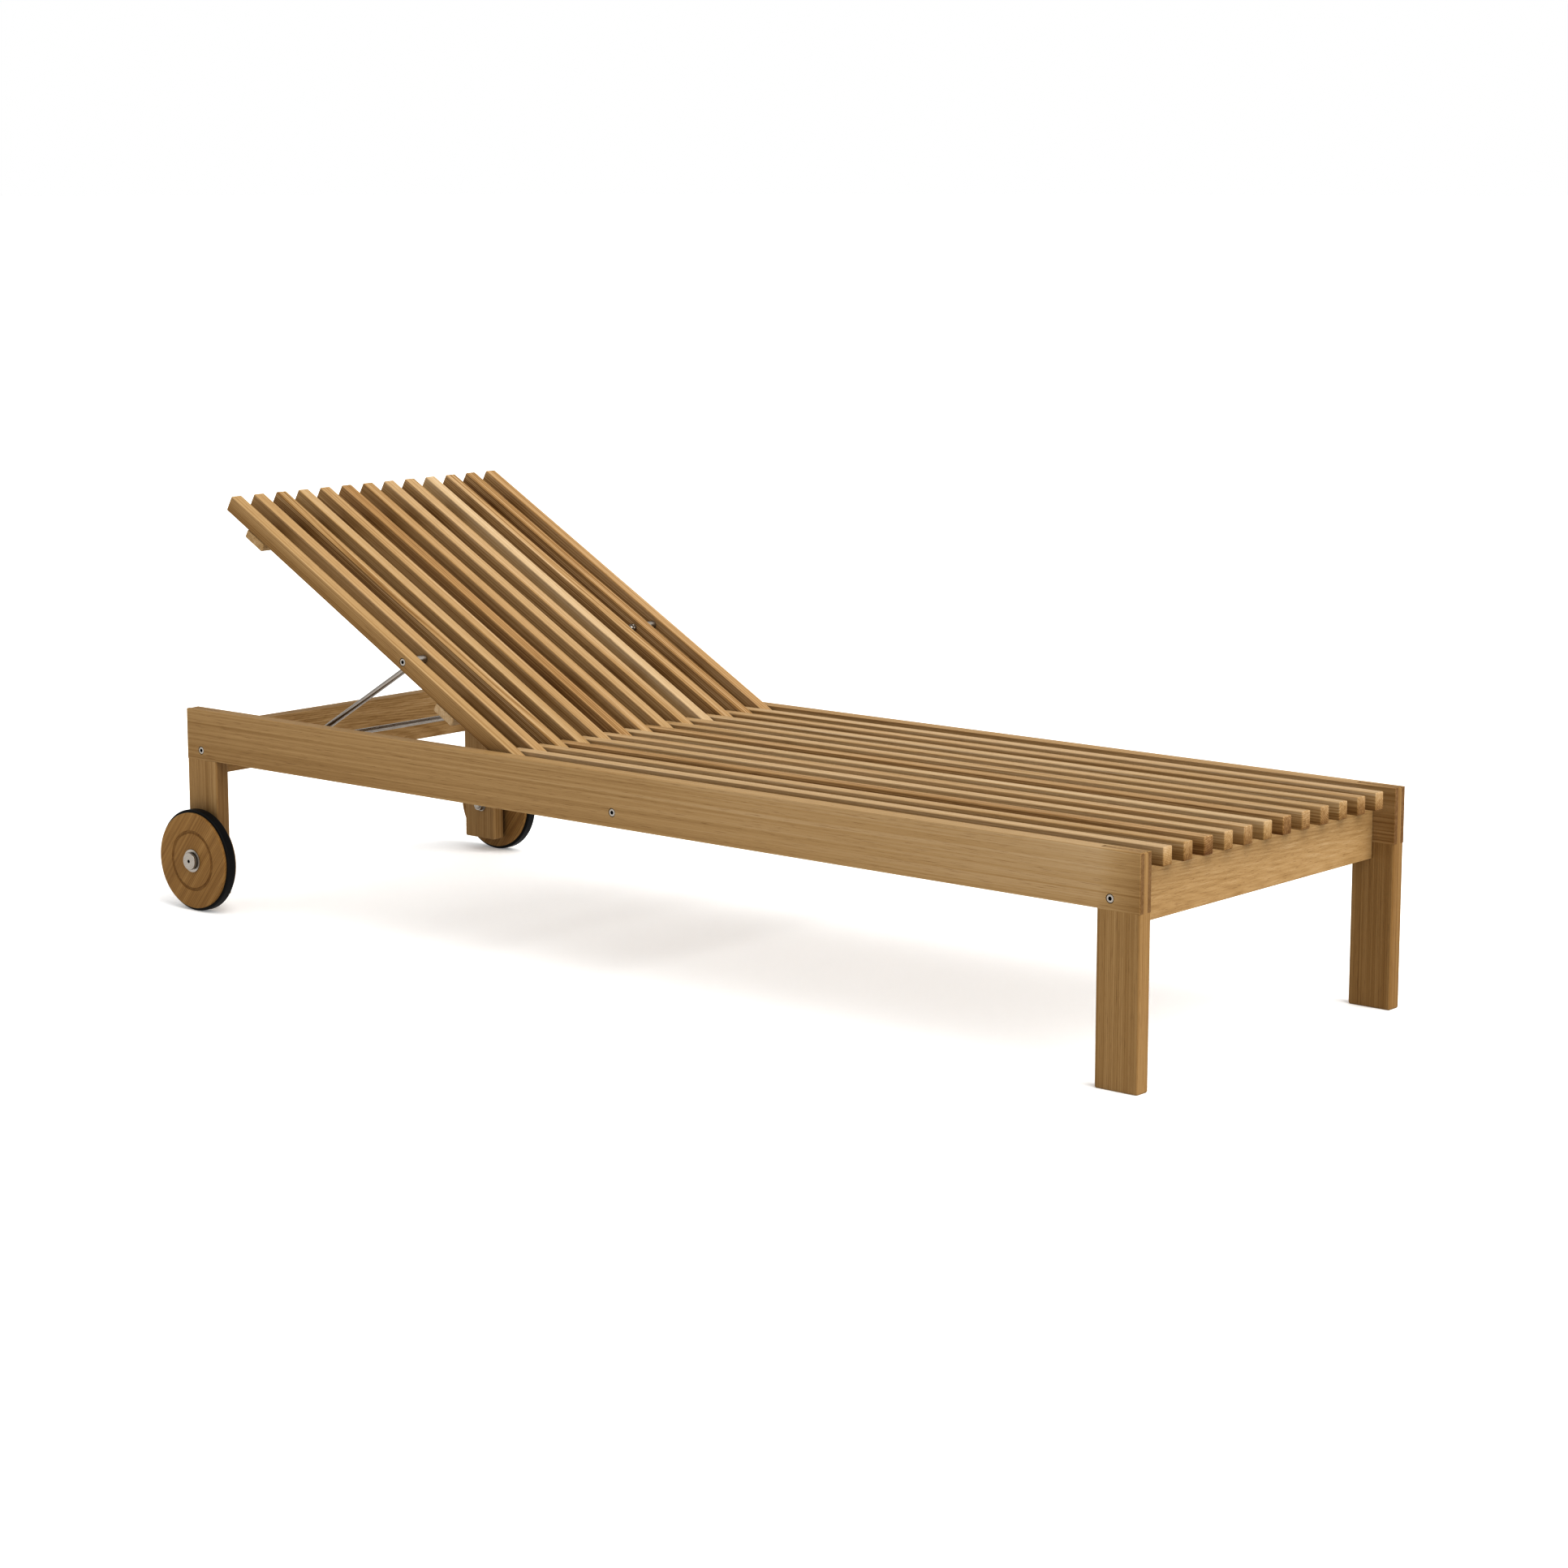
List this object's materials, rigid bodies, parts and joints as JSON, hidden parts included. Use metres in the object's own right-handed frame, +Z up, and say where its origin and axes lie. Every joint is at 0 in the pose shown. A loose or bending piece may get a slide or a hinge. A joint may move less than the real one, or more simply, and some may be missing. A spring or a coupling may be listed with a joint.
{
  "type": "reclining sun lounger",
  "caption": "Slatted teak sun lounger with a hinged reclining back on a steel support bail, plain board legs at the foot and wheels at the head.",
  "frame": {"origin": "on the floor, under the middle of the whole object's box", "axes": "+X towards the foot end, +Y towards the sitter's left side rail, +Z up"},
  "size_m": [2.046, 0.777, 0.7152],
  "materials": {
    "teak_frame": "fine-sanded oiled teak, long straight grain, eased edges",
    "teak_slats": "fine-sanded teak, tone differs from slat to slat",
    "teak_wheel": "turned teak face, satin oiled",
    "tyre_rubber": "plain black rubber, satin",
    "rod_steel": "stainless rod, fine brushed along its length",
    "fastener_steel": "stainless fasteners, satin"
  },
  "bodies": {
    "frame": {"side_rail_right": "teak_frame", "side_rail_left": "teak_frame", "cross_rail_foot": "teak_frame", "cross_rail_middle": "teak_frame", "cross_rail_head": "teak_frame", "leg_foot_right": "teak_frame", "leg_foot_left": "teak_frame", "leg_head_right": "teak_frame", "leg_head_left": "teak_frame", "rack_right": "teak_frame", "rack_left": "teak_frame", "seat_slat_01": "teak_slats", "seat_slat_02": "teak_slats", "seat_slat_03": "teak_slats", "seat_slat_04": "teak_slats", "seat_slat_05": "teak_slats", "seat_slat_06": "teak_slats", "seat_slat_07": "teak_slats", "seat_slat_08": "teak_slats", "seat_slat_09": "teak_slats", "seat_slat_10": "teak_slats", "seat_slat_11": "teak_slats", "seat_slat_12": "teak_slats", "axle_bolt_right": "fastener_steel", "axle_washer_right": "fastener_steel", "axle_nut_right": "fastener_steel", "rail_bolt_foot_right": "fastener_steel", "rail_bolt_middle_right": "fastener_steel", "rail_bolt_head_right": "fastener_steel", "axle_bolt_left": "fastener_steel", "axle_washer_left": "fastener_steel", "axle_nut_left": "fastener_steel", "rail_bolt_foot_left": "fastener_steel", "rail_bolt_middle_left": "fastener_steel", "rail_bolt_head_left": "fastener_steel", "hinge_rod": "rod_steel"},
    "back": {"back_slat_01": "teak_slats", "back_slat_02": "teak_slats", "back_slat_03": "teak_slats", "back_slat_04": "teak_slats", "back_slat_05": "teak_slats", "back_slat_06": "teak_slats", "back_slat_07": "teak_slats", "back_slat_08": "teak_slats", "back_slat_09": "teak_slats", "back_slat_10": "teak_slats", "back_slat_11": "teak_slats", "back_slat_12": "teak_slats", "back_slat_13": "teak_slats", "back_batten_lower": "teak_slats", "back_batten_upper": "teak_slats", "bail_bolt_right": "fastener_steel", "bail_bolt_left": "fastener_steel", "bail_nut_right": "fastener_steel", "bail_nut_left": "fastener_steel"},
    "bail": {"support_bail": "rod_steel"},
    "wheel_right": {"wheel_disc_right": "teak_wheel", "wheel_tyre_right": "tyre_rubber"},
    "wheel_left": {"wheel_disc_left": "teak_wheel", "wheel_tyre_left": "tyre_rubber"}
  },
  "joints": [
    {"name": "recline", "type": "hinge", "parent": "frame", "child": "back", "pos_m": [-0.229, 0, 0.332], "axis": [0, 1, 0], "range_deg": [-29.3, 24.85]},
    {"name": "bail_swing", "type": "hinge", "parent": "back", "child": "bail", "pos_m": [-0.47318, 0, 0.46903], "axis": [0, 1, 0], "range_deg": [-48, 56]},
    {"name": "wheel_spin_right", "type": "hinge", "parent": "frame", "child": "wheel_right", "pos_m": [-0.935, -0.367, 0.088], "axis": [0, 1, 0], "continuous": true},
    {"name": "wheel_spin_left", "type": "hinge", "parent": "frame", "child": "wheel_left", "pos_m": [-0.935, 0.367, 0.088], "axis": [0, 1, 0], "continuous": true}
  ],
  "couplings": [
    {"joint": "bail_swing", "follows": "recline", "ratio": -1.9}
  ]
}
